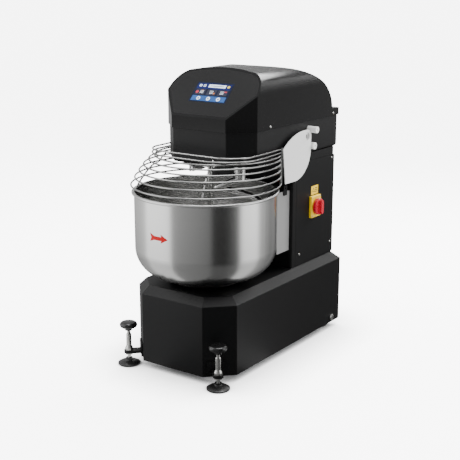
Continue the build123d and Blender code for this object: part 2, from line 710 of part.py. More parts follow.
with BuildPart() as head_casing:
    add(casing_block(head_outer, HEAD_LOW, HEAD_TOP, 6))
    fillet(head_casing.faces().sort_by(Axis.Z)[0].edges(), 10)
    add(head_cavity.part, mode=Mode.SUBTRACT)
    with BuildSketch(Plane.XY.offset(HEAD_LOW)):
        with Locations((SPIRAL_X, SPIRAL_Y)):
            Circle(24)
        with Locations((0, MOTOR_Y)):
            Circle(84)
    extrude(amount=SHEET, mode=Mode.SUBTRACT)
    with BuildSketch(across(-HEAD_HALF, PIVOT_Y, PIVOT_Z)):
        Circle(8 + 2 * FIT)
    extrude(amount=2 * HEAD_HALF, mode=Mode.SUBTRACT)
pieces["head_casing"] = head_casing.part


# ---------------------------------------------------------------- hood, fascia and display
def hood_arch(inset, low):
    """The hood seen from the front and from above, before its sides are shaped."""
    half = HOOD_HALF - inset
    shoulder_x = HOOD_HALF - SHOULDER_R
    tip = shoulder_x + SHOULDER_R * cos(radians(SHOULDER_ARC))
    crown_r = tip / cos(radians(SHOULDER_ARC))
    crown_z = SHOULDER_Z + SHOULDER_R * sin(radians(SHOULDER_ARC)) - crown_r * sin(radians(SHOULDER_ARC))
    plan = casing_plan(HOOD_HALF, HOOD_FRONT, HOOD_BACK, HOOD_CORNER, inset)
    with BuildPart() as arch:
        add(casing_block(plan, low, LEDGE_Z + ROOF_HIGH + 20, max(6 - inset, 1)))
        with BuildSketch(Plane.XZ.offset(-HOOD_BACK)):
            with BuildLine():
                Line((-half, low), (half, low))
                Line((half, low), (half, SHOULDER_Z))
                CenterArc((shoulder_x, SHOULDER_Z), SHOULDER_R - inset, 0, SHOULDER_ARC)
                CenterArc((0, crown_z), crown_r - inset, SHOULDER_ARC, 180 - 2 * SHOULDER_ARC)
                CenterArc((-shoulder_x, SHOULDER_Z), SHOULDER_R - inset, 180 - SHOULDER_ARC, SHOULDER_ARC)
                Line((-half, SHOULDER_Z), (-half, low))
            make_face()
        extrude(amount=HOOD_BACK - HOOD_FRONT, mode=Mode.INTERSECT)
    return arch.part


def hood_form(inset, low):
    """The arch cut to the side outline: sloping front, level roof and rounded back."""
    roof_z = LEDGE_Z + ROOF_HIGH - inset
    ledge_z = LEDGE_Z - inset
    low_slope_z = FASCIA_LOW - inset * sqrt(2)
    roof_end = ROOF_Y + ROOF_LONG - inset
    with BuildPart() as form:
        add(hood_arch(inset, low))
        with BuildSketch(Plane.YZ):
            with BuildLine():
                Line((HOOD_FRONT, low), (HOOD_FRONT, low_slope_z))
                Line((HOOD_FRONT, low_slope_z), (HOOD_FRONT + roof_z - low_slope_z, roof_z))
                Line((HOOD_FRONT + roof_z - low_slope_z, roof_z), (ROOF_Y, roof_z))
                EllipticalCenterArc(
                    (ROOF_Y, ledge_z), ROOF_LONG - inset, ROOF_HIGH, start_angle=0, arc_size=90
                )
                Line((roof_end, ledge_z), (HOOD_BACK - 12, ledge_z))
                CenterArc((HOOD_BACK - 12, LEDGE_Z - 12), 12 - inset, 0, 90)
                Line((HOOD_BACK - inset, LEDGE_Z - 12), (HOOD_BACK - inset, low))
                Line((HOOD_BACK - inset, low), (HOOD_FRONT, low))
            make_face()
        extrude(amount=HOOD_HALF, both=True, mode=Mode.INTERSECT)
    return form.part


def fascia_slab(inset, deep):
    """Slab just under the sloping front, with its outline a little inside the hood's."""
    low_y = HOOD_FRONT + inset * DIAGONAL
    low_z = FASCIA_LOW + inset * DIAGONAL
    with BuildPart() as slab:
        add(hood_arch(inset, FASCIA_LOW - 20))
        with BuildSketch(Plane.YZ):
            with BuildLine():
                Polyline(
                    (low_y, low_z), (low_y + 200, low_z + 200),
                    (low_y + 200 + deep * DIAGONAL, low_z + 200 - deep * DIAGONAL),
                    (low_y + deep * DIAGONAL, low_z - deep * DIAGONAL), close=True,
                )
            make_face()
        extrude(amount=HOOD_HALF, both=True, mode=Mode.INTERSECT)
    return slab.part


fascia_plane = Plane(
    origin=(0, HOOD_FRONT, FASCIA_LOW), x_dir=(1, 0, 0), z_dir=(0, -DIAGONAL, DIAGONAL)
)
with BuildPart() as head_cover:
    add(hood_form(0, HOOD_LOW))
    add(hood_form(HOOD_WALL + 3, HOOD_LOW), mode=Mode.SUBTRACT)
    add(fascia_slab(FASCIA_RIM, FASCIA_DEEP + GAP), mode=Mode.SUBTRACT)
pieces["head_cover"] = head_cover.part

DISPLAY_UP = 109.0              # centre of the display, measured up the slope
DISPLAY_WIDE = 156.0
DISPLAY_HIGH = 88.0
display_plane = Plane(
    origin=fascia_plane.from_local_coords((0, DISPLAY_UP, 0)), x_dir=(1, 0, 0), z_dir=fascia_plane.z_dir
)
with BuildPart() as fascia_panel:
    add(fascia_slab(FASCIA_RIM + GAP, FASCIA_DEEP))
    with BuildSketch(display_plane):
        RectangleRounded(DISPLAY_WIDE, DISPLAY_HIGH, 3)
    extrude(amount=-2, mode=Mode.SUBTRACT)
pieces["fascia_panel"] = fascia_panel.part

with BuildPart() as touch_display:
    with BuildSketch(display_plane.offset(-2 + GAP / 3)):
        RectangleRounded(DISPLAY_WIDE - 2 * GAP, DISPLAY_HIGH - 2 * GAP, 3)
    extrude(amount=2)
pieces["touch_display"] = touch_display.part

# ---------------------------------------------------------------- spiral, breaker bar and their drive
SPIRAL_BELT_LOW = 776.0
SPIRAL_PULLEY_R = 44.0
SPIRAL_SHAFT_R = 17.5
HEAD_FLOOR = HEAD_LOW + SHEET + GAP / 3
with BuildPart() as spiral_bearing_housing:
    with BuildSketch(upright(SPIRAL_X, SPIRAL_Y)):
        with BuildLine():
            Polyline(
                (SPIRAL_SHAFT_R + FIT, HEAD_FLOOR), (48, HEAD_FLOOR), (48, HEAD_FLOOR + 9),
                (38, HEAD_FLOOR + 12), (38, SPIRAL_BELT_LOW - 6), (SPIRAL_SHAFT_R + FIT, SPIRAL_BELT_LOW - 6),
                close=True,
            )
        make_face()
    revolve(axis=vertical(SPIRAL_X, SPIRAL_Y))
pieces["spiral_bearing_housing"] = spiral_bearing_housing.part

HUB_LOW = 672.0
with BuildPart() as spiral_shaft:
    with BuildSketch(upright(SPIRAL_X, SPIRAL_Y)):
        with BuildLine():
            Polyline(
                (0, HUB_LOW + 22), (21, HUB_LOW + 22), (21, HEAD_LOW - 2), (SPIRAL_SHAFT_R, HEAD_LOW - 2),
                (SPIRAL_SHAFT_R, SPIRAL_BELT_LOW + 34), (0, SPIRAL_BELT_LOW + 34), close=True,
            )
        make_face()
    revolve(axis=vertical(SPIRAL_X, SPIRAL_Y))
pieces["spiral_shaft"] = spiral_shaft.part
pieces["spiral_pulley"] = pulley_of(
    SPIRAL_X, SPIRAL_Y, SPIRAL_BELT_LOW, SPIRAL_PULLEY_R, SPIRAL_SHAFT_R + FIT, BELT_WIDE
)
pieces["spiral_belt"] = belt_of(
    (SPIRAL_X, SPIRAL_Y), SPIRAL_PULLEY_R, (0, MOTOR_Y), MOTOR_PULLEY_R, SPIRAL_BELT_LOW + 3.5, BELT_WIDE - 7
)
pieces["spiral_motor_pulley"] = pulley_of(
    0, MOTOR_Y, SPIRAL_BELT_LOW, MOTOR_PULLEY_R, 12 + FIT, BELT_WIDE
)
spiral_motor = motor_of(0, MOTOR_Y, 490, HEAD_FLOOR, 78, HEAD_FLOOR, SPIRAL_BELT_LOW + 26, HEAD_FLOOR + 8)
pieces["spiral_motor"] = block_of(0, MOTOR_Y, HEAD_FLOOR, HEAD_FLOOR + 8, 200, 200) + spiral_motor

# The rod leaves the hub as a sloping arm and then winds down as a helix.
arm_angle = radians(SPIRAL_START)
arm_end = Vector(
    SPIRAL_X + SPIRAL_R * cos(arm_angle), SPIRAL_Y + SPIRAL_R * sin(arm_angle), SPIRAL_TOP
)
arm_start = Vector(SPIRAL_X, SPIRAL_Y, HUB_LOW + 4)
with BuildPart() as spiral_hook:
    with BuildLine(Plane.XY):
        coil = Helix(
            SPIRAL_PITCH, SPIRAL_TOP - SPIRAL_LOW, SPIRAL_R, center=(0, 0, 0), direction=(0, 0, -1)
        )
    with BuildSketch(Plane(origin=coil @ 0, z_dir=coil % 0)):
        Circle(SPIRAL_ROD_R)
    sweep(path=coil, is_frenet=True)
    for end in (coil @ 0, coil @ 1):
        with Locations(end):
            Sphere(SPIRAL_ROD_R)
turned = atan2((coil @ 0).Y, (coil @ 0).X)
coil_part = spiral_hook.part.rotate(Axis.Z, SPIRAL_START - turned * 180 / 3.141592653589793)
coil_part = coil_part.translate((SPIRAL_X, SPIRAL_Y, SPIRAL_TOP))
with BuildPart() as spiral_hook:
    add(coil_part)
    arm_plane = Plane(origin=arm_start, z_dir=arm_end - arm_start)
    with BuildSketch(arm_plane):
        Circle(SPIRAL_ROD_R)
    extrude(amount=(arm_end - arm_start).length)
    with BuildSketch(Plane.XY.offset(HUB_LOW - 8)):
        with Locations((SPIRAL_X, SPIRAL_Y)):
            Circle(19)
    extrude(amount=30 - GAP / 3)
pieces["spiral_hook"] = spiral_hook.part

with BuildPart() as breaker_bar:
    with BuildSketch(upright(BREAKER_X, BREAKER_Y)):
        with BuildLine():
            Polyline(
                (0, BREAKER_LOW), (BREAKER_R - 3, BREAKER_LOW), (BREAKER_R, BREAKER_LOW + 4),
                (BREAKER_R, HEAD_LOW - 12), (26, HEAD_LOW - 12), (26, HEAD_LOW - GAP / 3),
                (0, HEAD_LOW - GAP / 3), close=True,
            )
        make_face()
    revolve(axis=vertical(BREAKER_X, BREAKER_Y))
pieces["breaker_bar"] = breaker_bar.part

# ---------------------------------------------------------------- guard
HUB_R = 17.0
HUB_DEEP = 11.0
CORNER_R = 24.0
with BuildPart() as guard_plate_right:
    with BuildSketch(across(PLATE_X, PIVOT_Y, PIVOT_Z)):
        with BuildLine():
            corner = CenterArc((0, 0), CORNER_R, 0, 98)
            top = ThreePointArc(corner @ 1, (-94, 12), (-164.5, -26))
            Line(top @ 1, (-148.5, -151.4))
            Line((-148.5, -151.4), (-78, -151.4))
            rear = ThreePointArc((-78, -151.4), (-8, -119), (23, -36))
            Line(rear @ 1, corner @ 0)
        make_face()
        Circle(13, mode=Mode.SUBTRACT)
    extrude(amount=PLATE_THICK)
    with BuildSketch(across(PLATE_X - HUB_DEEP, PIVOT_Y, PIVOT_Z)):
        Circle(HUB_R)
        Circle(8 + FIT, mode=Mode.SUBTRACT)
    extrude(amount=HUB_DEEP)
    with BuildSketch(across(PLATE_X - 4, PIVOT_Y, PIVOT_Z)):
        Circle(13)
    extrude(amount=4, mode=Mode.SUBTRACT)
pieces["guard_plate_right"] = guard_plate_right.part
with BuildPart() as guard_plate_left:
    mirror(guard_plate_right.part, about=Plane.YZ)
pieces["guard_plate_left"] = guard_plate_left.part


def ring_centre(front):
    """Centre along Y and radius of the ring through both end points and its front point."""
    reach = RING_END_Y - front
    radius = (RING_END_X ** 2 + reach ** 2) / (2 * reach)
    return front + radius, radius


def round_ring(front, height):
    """Ring that is one arc from plate to plate."""
    centre, radius = ring_centre(front)
    past = 2.0
    start = atan2(RING_END_Y - centre, RING_END_X) * 57.29578 + past
    with BuildPart() as ring:
        with BuildLine(Plane.XY.offset(height)) as path:
            CenterArc((0, centre), radius, start, -180 - 2 * start)
        with BuildSketch(Plane(origin=path.line @ 0, z_dir=path.line % 0)):
            Circle(WIRE_R)
        sweep(path=path.line)
        split(bisect_by=Plane(origin=(0, RING_END_Y, 0), z_dir=(0, -1, 0)))
    return ring.part


def square_ring(front, height, side, corner, bend):
    """Ring that runs straight beside the head and turns two tighter corners in front of it."""
    with BuildPart() as ring:
        with BuildLine(Plane.XY.offset(height)) as path:
            FilletPolyline(
                (RING_END_X, RING_END_Y + 6), (side, RING_END_Y - 110), (corner, front),
                (-corner, front), (-side, RING_END_Y - 110), (-RING_END_X, RING_END_Y + 6),
                radius=bend,
            )
        with BuildSketch(Plane(origin=path.line @ 0, z_dir=path.line % 0)):
            Circle(WIRE_R)
        sweep(path=path.line)
        split(bisect_by=Plane(origin=(0, RING_END_Y, 0), z_dir=(0, -1, 0)))
    return ring.part


with BuildPart() as guard_rings:
    for front, height in zip(RING_FRONT[:6], RING_Z[:6]):
        add(round_ring(front, height))
    add(square_ring(RING_FRONT[6], RING_Z[6], 212, 208, 130))
    add(square_ring(RING_FRONT[7], RING_Z[7], 206, 202, 90))
pieces["guard_rings"] = guard_rings.part

# Each rib lies inside the rings, in an upright plane that leans towards the middle of the guard.
RIB_X = 144.0
RIB_LEAN = 0.37


def rib_point(front, height, flat):
    """Where the rib's plane meets a ring, and the ring's direction there."""
    if flat:
        return Vector(RIB_X - RIB_LEAN * (front - RING_FRONT[0] - 45), front, height), Vector(1, 0, 0)
    centre, radius = ring_centre(front)
    lean = hypot(1, RIB_LEAN)
    start = Vector(RIB_X, BOWL_Y - 213, 0)
    away = Vector(-RIB_LEAN / lean, 1 / lean, 0)
    to_start = start - Vector(0, centre, 0)
    along = -to_start.dot(away)
    foot = to_start + away * along
    along -= sqrt(radius ** 2 - foot.length ** 2)
    hit = start + away * along
    return Vector(hit.X, hit.Y, height), Vector(centre - hit.Y, hit.X, 0).normalized()


crossings = [rib_point(f, z, False) for f, z in zip(RING_FRONT[:6], RING_Z[:6])]
crossings.append(rib_point(RING_FRONT[6] + 3.5, RING_Z[6], True))
crossings.append(rib_point(RING_FRONT[7], RING_Z[7], True))
rib_points = []
for i, (point, level) in enumerate(crossings):
    before = crossings[max(i - 1, 0)][0]
    after = crossings[min(i + 1, len(crossings) - 1)][0]
    rise = (after - before).normalized()
    inward = level.cross(rise).normalized()
    if inward.Y < 0:
        inward = inward * -1
    rib_points.append(point + inward * (2 * WIRE_R + 1.0))

with BuildPart() as guard_ribs:
    with BuildLine() as rib_path:
        Spline(*rib_points)
    with BuildSketch(Plane(origin=rib_path.line @ 0, z_dir=rib_path.line % 0)):
        Circle(WIRE_R)
    sweep(path=rib_path.line)
    with BuildSketch(Plane.XY.offset(RING_Z[0] - 8)):
        with Locations((PLATE_X - GAP - 4, RING_END_Y + GAP / 3 + 3)):
            Rectangle(8, 6)
    extrude(amount=RING_Z[-1] - RING_Z[0] + 14)
    mirror(about=Plane.YZ)
pieces["guard_ribs"] = guard_ribs.part

with BuildPart() as guard_pivot_pins:
    with BuildSketch(across(HEAD_HALF - 20, PIVOT_Y, PIVOT_Z)):
        Circle(8)
    extrude(amount=PLATE_X - 5 - HEAD_HALF + 20)
    with BuildSketch(across(HEAD_HALF + GAP / 3, PIVOT_Y, PIVOT_Z)):
        Circle(20)
    extrude(amount=PLATE_X - HUB_DEEP - GAP - HEAD_HALF - GAP / 3)
    mirror(about=Plane.YZ)
pieces["guard_pivot_pins"] = guard_pivot_pins.part

UPPER_STOP = (BOWL_Y + 376.5, 811.5, 12.0, 38.0)
LOWER_STOP = (BOWL_Y + 379.5, 751.5, 12.5, 28.0)
with BuildPart() as guard_stops:
    for y, z, radius, long in (UPPER_STOP, LOWER_STOP):
        with BuildSketch(across(HEAD_HALF + GAP / 3, y, z)):
            Circle(radius)
        extrude(amount=long)
        with BuildSketch(across(HEAD_HALF + GAP / 3 + long, y, z)):
            RegularPolygon(4, 6)
        extrude(amount=-6, mode=Mode.SUBTRACT)
    mirror(about=Plane.YZ)
pieces["guard_stops"] = guard_stops.part

pieces["guard_interlock"] = block_of(HEAD_HALF - 40, PIVOT_Y, PIVOT_Z - 20, PIVOT_Z + 20, 30, 44)

# ---------------------------------------------------------------- screws
SCREW_R = 4.5
side_spots = [(y, z) for y in (PANEL_FRONT + 27, COLUMN_BACK - 20) for z in (347, 680)]
hood_spots = [(BOWL_Y + 116, 851), (BOWL_Y + 553, 851)]
screw_planes = []
for direction in (1, -1):
    for y, z in side_spots:
        screw_planes.append(Plane(origin=(direction * (COLUMN_HALF + 0.1), y, z), z_dir=(direction, 0, 0)))
    for y, z in hood_spots:
        screw_planes.append(Plane(origin=(direction * (HOOD_HALF + 0.1), y, z), z_dir=(direction, 0, 0)))
for x in (-160, 160):
    for z in (330, 670):
        screw_planes.append(Plane(origin=(x, COLUMN_BACK + 0.1, z), z_dir=(0, 1, 0)))
with BuildPart() as casing_screws:
    for spot in screw_planes:
        with BuildSketch(spot):
            Circle(SCREW_R)
        extrude(amount=2.4, taper=20)
pieces["casing_screws"] = casing_screws.part

# ---------------------------------------------------------------- write every piece
for name, piece in pieces.items():
    piece.label = name
    export_step(piece, f"parts/{name}.step")
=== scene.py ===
"""Looks of the spiral dough mixer: materials, screen graphics, small trim, camera, floor and lights."""

import json
import math

import bmesh
import bpy
from mathutils import Matrix, Vector


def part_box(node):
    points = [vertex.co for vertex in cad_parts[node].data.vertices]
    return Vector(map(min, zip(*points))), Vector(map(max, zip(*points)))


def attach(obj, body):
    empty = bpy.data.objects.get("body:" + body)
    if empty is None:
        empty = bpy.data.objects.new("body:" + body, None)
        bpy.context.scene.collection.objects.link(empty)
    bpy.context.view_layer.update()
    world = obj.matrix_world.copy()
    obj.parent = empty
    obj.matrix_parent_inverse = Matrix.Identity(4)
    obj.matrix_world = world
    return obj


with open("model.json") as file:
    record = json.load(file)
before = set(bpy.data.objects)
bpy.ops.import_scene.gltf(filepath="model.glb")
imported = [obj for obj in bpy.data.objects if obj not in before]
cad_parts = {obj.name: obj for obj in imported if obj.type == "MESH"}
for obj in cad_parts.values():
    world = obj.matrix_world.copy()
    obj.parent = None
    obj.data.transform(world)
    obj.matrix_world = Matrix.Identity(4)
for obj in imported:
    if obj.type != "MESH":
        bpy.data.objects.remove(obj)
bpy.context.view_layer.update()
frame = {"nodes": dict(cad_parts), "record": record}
ROOT_BODY = "frame"


# ---------------------------------------------------------------- shader nodes
def new_material(name):
    material = bpy.data.materials.new(name)
    material.use_nodes = True
    return material, material.node_tree, material.node_tree.nodes["Principled BSDF"]


def feed(tree, socket, value):
    """Link an output into the socket, or set a plain value on it."""
    if isinstance(value, bpy.types.NodeSocket):
        tree.links.new(value, socket)
    else:
        socket.default_value = value


def math_node(tree, operation, first, second):
    node = tree.nodes.new("ShaderNodeMath")
    node.operation = operation
    feed(tree, node.inputs[0], first)
    feed(tree, node.inputs[1], second)
    return node.outputs["Value"]


def range_node(tree, value, from_min, from_max, to_min, to_max):
    node = tree.nodes.new("ShaderNodeMapRange")
    node.inputs["From Min"].default_value = from_min
    node.inputs["From Max"].default_value = from_max
    node.inputs["To Min"].default_value = to_min
    node.inputs["To Max"].default_value = to_max
    feed(tree, node.inputs["Value"], value)
    return node.outputs["Result"]


def ramp_node(tree, factor, stops):
    """Colour ramp through stops of position and colour, lowest first."""
    node = tree.nodes.new("ShaderNodeValToRGB")
    elements = node.color_ramp.elements
    while len(elements) < len(stops):
        elements.new(0.5)
    for element, (position, colour) in zip(elements, stops):
        element.position = position
        element.color = (*colour, 1)
    feed(tree, node.inputs["Fac"], factor)
    return node.outputs["Color"]


def mix_node(tree, factor, first, second):
    node = tree.nodes.new("ShaderNodeMix")
    node.data_type = "RGBA"
    feed(tree, node.inputs["Factor"], factor)
    feed(tree, node.inputs["A"], first)
    feed(tree, node.inputs["B"], second)
    return node.outputs["Result"]


# ---------------------------------------------------------------- materials
NOISE_LOW = 0.3                 # the part of the noise's range that tones and roughness spread over
NOISE_HIGH = 0.7
SMOOTHEST = 0.02
COAT_ROUGHNESS = 0.06


def finish_of(name, colour, roughness, metallic=0.0, coat=0.0, grain=300.0, stretch=(1, 1, 1),
              contrast=0.12, rough_spread=0.06, bump=0.05, depth=0.0002, anisotropic=0.0, glow=0.0,
              specular=0.5):
    """Principled material whose colour, roughness and relief all follow one noise in object space."""
    material, tree, shader = new_material(name)
    place = tree.nodes.new("ShaderNodeTexCoord")
    mapping = tree.nodes.new("ShaderNodeMapping")
    mapping.inputs["Scale"].default_value = stretch
    noise = tree.nodes.new("ShaderNodeTexNoise")
    noise.inputs["Scale"].default_value = grain
    noise.inputs["Detail"].default_value = 4.0
    tree.links.new(place.outputs["Object"], mapping.inputs["Vector"])
    tree.links.new(mapping.outputs["Vector"], noise.inputs["Vector"])

    dark = [c * (1 - contrast) for c in colour]
    light = [min(1, c * (1 + contrast)) for c in colour]
    tone = ramp_node(tree, noise.outputs["Fac"], ((NOISE_LOW, dark), (NOISE_HIGH, light)))
    tree.links.new(tone, shader.inputs["Base Color"])

    smooth = max(SMOOTHEST, roughness - rough_spread)
    rough = min(1.0, roughness + rough_spread)
    spread = range_node(tree, noise.outputs["Fac"], NOISE_LOW, NOISE_HIGH, smooth, rough)
    tree.links.new(spread, shader.inputs["Roughness"])

    if bump:
        relief = tree.nodes.new("ShaderNodeBump")
        relief.inputs["Strength"].default_value = bump
        relief.inputs["Distance"].default_value = depth
        tree.links.new(noise.outputs["Fac"], relief.inputs["Height"])
        tree.links.new(relief.outputs["Normal"], shader.inputs["Normal"])
    if anisotropic:
        tangent = tree.nodes.new("ShaderNodeTangent")
        tangent.direction_type = "RADIAL"
        tangent.axis = "Z"
        tree.links.new(tangent.outputs["Tangent"], shader.inputs["Tangent"])
        shader.inputs["Anisotropic"].default_value = anisotropic
        shader.inputs["Anisotropic Rotation"].default_value = 0.25
    if glow:
        tree.links.new(tone, shader.inputs["Emission Color"])
        shader.inputs["Emission Strength"].default_value = glow
    shader.inputs["Metallic"].default_value = metallic
    shader.inputs["Specular IOR Level"].default_value = specular
    shader.inputs["Coat Weight"].default_value = coat
    shader.inputs["Coat Roughness"].default_value = COAT_ROUGHNESS
    return material


# The keys are the record's material slots.
LOOKS = {
    "black_paint": finish_of("black_paint", (0.0025, 0.0025, 0.0027), 0.42, grain=900, bump=0.10,
                             specular=0.20),
    "gloss_black": finish_of("gloss_black", (0.0012, 0.0012, 0.0013), 0.20, grain=60,
                             rough_spread=0.02, bump=0.01, specular=0.22),
    "stainless": finish_of("stainless", (0.60, 0.60, 0.59), 0.24, 1.0, grain=3, stretch=(1, 1, 500),
                           contrast=0.03, rough_spread=0.005, bump=0.0, anisotropic=0.3),
    "bright_steel": finish_of("bright_steel", (0.50, 0.50, 0.495), 0.17, 1.0, grain=220, bump=0.03),
    "light_plate": finish_of("light_plate", (0.64, 0.64, 0.63), 0.36, grain=120, contrast=0.03,
                             bump=0.03),
    "fascia": finish_of("fascia", (0.0034, 0.0034, 0.0035), 0.40, grain=1400, contrast=0.2, bump=0.08,
                        specular=0.15),
    "screen": finish_of("screen", (0.006, 0.009, 0.022), 0.20, grain=30, contrast=0.3,
                        rough_spread=0.02, bump=0.0, glow=0.3, specular=0.12),
    "black_plastic": finish_of("black_plastic", (0.004, 0.004, 0.004), 0.16, coat=0.3, grain=260,
                               bump=0.04),
    "pad_black": finish_of("pad_black", (0.006, 0.006, 0.006), 0.28, grain=500, bump=0.15),
    "tyre_grey": finish_of("tyre_grey", (0.030, 0.030, 0.030), 0.60, grain=500, bump=0.2),
    "white_plastic": finish_of("white_plastic", (0.74, 0.74, 0.72), 0.38, grain=200, contrast=0.04,
                               bump=0.03),
    "red_plastic": finish_of("red_plastic", (0.42, 0.004, 0.016), 0.28, coat=0.2, grain=200,
                             bump=0.03),
    "yellow_plastic": finish_of("yellow_plastic", (0.72, 0.47, 0.004), 0.42, grain=200,
                                contrast=0.06, bump=0.03),
    "red_film": finish_of("red_film", (0.40, 0.001, 0.001), 0.45, grain=150, contrast=0.06,
                          bump=0.02, specular=0.15),
    "drive_metal": finish_of("drive_metal", (0.42, 0.43, 0.44), 0.42, 1.0, grain=300, bump=0.2),
    "cast_housing": finish_of("cast_housing", (0.10, 0.10, 0.11), 0.55, grain=350, bump=0.35),
    "belt_rubber": finish_of("belt_rubber", (0.020, 0.020, 0.020), 0.65, grain=500, bump=0.2),
    "zinc": finish_of("zinc", (0.56, 0.56, 0.54), 0.27, 1.0, grain=90, contrast=0.18, bump=0.05),
}

for entry in frame["record"]["subparts"]:
    cad_object = frame["nodes"][entry["node"]]
    cad_object.data.materials.clear()
    cad_object.data.materials.append(LOOKS[entry["material_slot"]])

# The splash plates take a darker copy of the light plate paint. This is painted shade for where they stand;
# the real plates carry the same light paint.
splash_painted_shade_look = finish_of("splash_plate_painted_shade", (0.19, 0.19, 0.187), 0.38, grain=120, contrast=0.03, bump=0.03)
wire_look = finish_of("polished_wire", (0.36, 0.36, 0.355), 0.15, 1.0, grain=260, contrast=0.08, bump=0.03)
OWN_LOOKS = {"splash_plates": splash_painted_shade_look, "guard_rings": wire_look, "guard_ribs": wire_look}
for node_name, look in OWN_LOOKS.items():
    frame["nodes"][node_name].data.materials[0] = look


# ---------------------------------------------------------------- helpers for new pieces
def piece_of(name, mesh, material, body):
    obj = bpy.data.objects.new(name, mesh)
    bpy.context.scene.collection.objects.link(obj)
    obj.data.materials.append(material)
    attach(obj, body)
    return obj


def rounded_outline(wide, high, radius, steps=6):
    """Points of a rounded rectangle round the origin, anticlockwise."""
    radius = min(radius, wide / 2, high / 2)
    points = []
    corners = ((wide / 2 - radius, high / 2 - radius, 0), (radius - wide / 2, high / 2 - radius, 90),
               (radius - wide / 2, radius - high / 2, 180), (wide / 2 - radius, radius - high / 2, 270))
    for x, y, start in corners:
        for i in range(steps + 1):
            turn = math.radians(start + 90 * i / steps)
            points.append((x + radius * math.cos(turn), y + radius * math.sin(turn)))
    return points


def plates_mesh(name, place, shapes, thick):
    """Thin plates: each shape is an outline and its centre, laid in the plane given by place."""
    sheet = bmesh.new()
    for outline, cx, cy in shapes:
        low = [sheet.verts.new(place @ Vector((x + cx, y + cy, 0))) for x, y in outline]
        high = [sheet.verts.new(place @ Vector((x + cx, y + cy, thick))) for x, y in outline]
        sheet.faces.new(high)
        sheet.faces.new(low[::-1])
        count = len(outline)
        for i in range(count):
            j = (i + 1) % count
            sheet.faces.new((low[i], low[j], high[j], high[i]))
    mesh = bpy.data.meshes.new(name)
    sheet.normal_update()
    sheet.to_mesh(mesh)
    sheet.free()
    return mesh


def screw_mesh(name, places, radius, height):
    """Domed screw heads with a cross recess, one at each place."""
    sheet = bmesh.new()
    segments = 24
    rings = ((1.0, 0.0), (1.0, 0.35), (0.86, 0.75), (0.55, 0.98), (0.42, 1.0), (0.34, 0.55), (0.0, 0.5))
    for place in places:
        rows = []
        for r, h in rings:
            if r == 0.0:
                rows.append([sheet.verts.new(place @ Vector((0, 0, h * height)))])
                continue
            row = []
            for i in range(segments):
                turn = 2 * math.pi * i / segments
                inner = 1.0 if r > 0.5 else (1.0 if i % 6 in (0, 1, 5) else 0.45)
                row.append(sheet.verts.new(place @ Vector((
                    r * inner * radius * math.cos(turn), r * inner * radius * math.sin(turn), h * height))))
            rows.append(row)
        for a, b in zip(rows[:-2], rows[1:-1]):
            for i in range(segments):
                j = (i + 1) % segments
                sheet.faces.new((a[i], a[j], b[j], b[i]))
        for i in range(segments):
            sheet.faces.new((rows[-2][i], rows[-2][(i + 1) % segments], rows[-1][0]))
    mesh = bpy.data.meshes.new(name)
    sheet.normal_update()
    sheet.to_mesh(mesh)
    sheet.free()
    return mesh


def middle_of(node):
    low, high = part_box(node)
    return (Vector(low) + Vector(high)) / 2


def facing_x(x, y, z):
    """Plane facing +X: its local x runs along Y and its local y along Z."""
    return Matrix(((0, 0, 1, x), (1, 0, 0, y), (0, 1, 0, z), (0, 0, 0, 1)))


# ---------------------------------------------------------------- screen graphics
SCREEN_THICK = 0.002
CLEARANCE = 0.00005
INK = 0.00012
FIRST_LAYER = 0.0
SECOND_LAYER = 0.0002
THIRD_LAYER = 0.0004
HALF = math.sqrt(0.5)           # the fascia leans back by 45 degrees
slope_up = Vector((0, HALF, HALF))
slope_out = Vector((0, -HALF, HALF))
screen_face = middle_of("touch_display") + slope_out * (SCREEN_THICK / 2 + CLEARANCE)


def on_screen(lift):
    """Plane of the screen: local x runs to the right, y up the slope, z out of the glass."""
    origin = screen_face + slope_out * lift
    return Matrix((
        (1, 0, 0, origin.x), (0, slope_up.y, slope_out.y, origin.y),
        (0, slope_up.z, slope_out.z, origin.z), (0, 0, 0, 1)))


# Colour and glow of each tone.
SCREEN_TONES = {
    "navy": ((0.008, 0.012, 0.070), 0.45), "blue": ((0.022, 0.065, 0.190), 0.6),
    "white": ((0.55, 0.62, 0.70), 0.7), "grey": ((0.022, 0.024, 0.038), 0.4),
    "amber": ((0.40, 0.12, 0.03), 0.6), "rose": ((0.34, 0.03, 0.05), 0.6),
    "yellow": ((0.55, 0.42, 0.05), 0.7),
}
SCREEN_LOOKS = {
    tone: finish_of("ui_" + tone, colour, 0.25, grain=60, contrast=0.15, rough_spread=0.02, bump=0.0,
                    glow=strength, specular=0.10)
    for tone, (colour, strength) in SCREEN_TONES.items()
}


def screen_shapes(name, look, shapes, lift):
    mesh = plates_mesh(name, on_screen(lift), shapes, INK)
    return piece_of(name, mesh, SCREEN_LOOKS[look], ROOT_BODY)


def disc(radius, steps=28):
    turns = [2 * math.pi * i / steps for i in range(steps)]
    return [(radius * math.cos(turn), radius * math.sin(turn)) for turn in turns]


bar = rounded_outline
BAR_WIDE = 0.142
TITLE_UP = 0.0275
BUTTON_UP = -0.0275
BUTTONS_X = (-0.042, 0.0, 0.042)
TILES_X = (-0.047, 0.0, 0.047)
TITLE_X = 0.012
SQUARE_SIGN_X = -0.058
BARS_SIGN_X = -0.041
SIGN = 0.010                    # side of the two square signs beside the title

